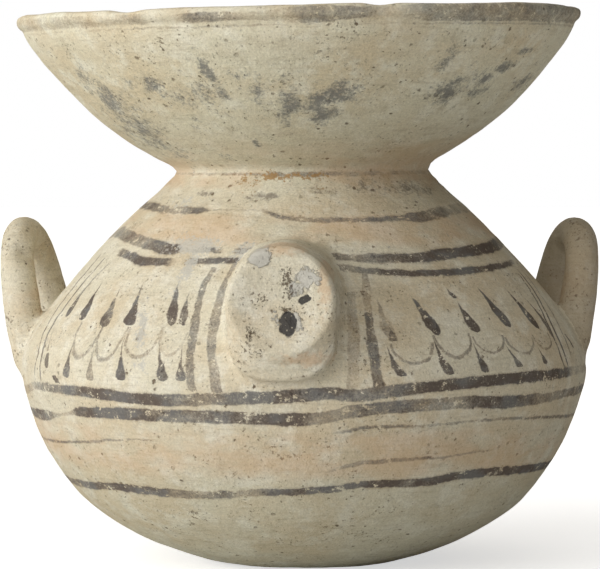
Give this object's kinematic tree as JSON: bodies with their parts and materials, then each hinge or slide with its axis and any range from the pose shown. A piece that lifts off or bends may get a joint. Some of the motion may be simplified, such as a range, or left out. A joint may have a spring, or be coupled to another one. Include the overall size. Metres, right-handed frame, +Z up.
{
  "type": "olla",
  "caption": "Round-bellied fired-clay olla with a wide funnel mouth, narrow neck, upright loop handles at the sides and disc-ended lugs at front and back.",
  "frame": {"origin": "centre of the flat resting spot under the pot", "axes": "+Z up; the front lug faces -Y; the loop handles stand toward -X and +X"},
  "size_m": [0.2526, 0.2567, 0.2324],
  "materials": {
    "fired_clay": null
  },
  "bodies": {
    "root": {"olla": "fired_clay"}
  },
  "joints": []
}
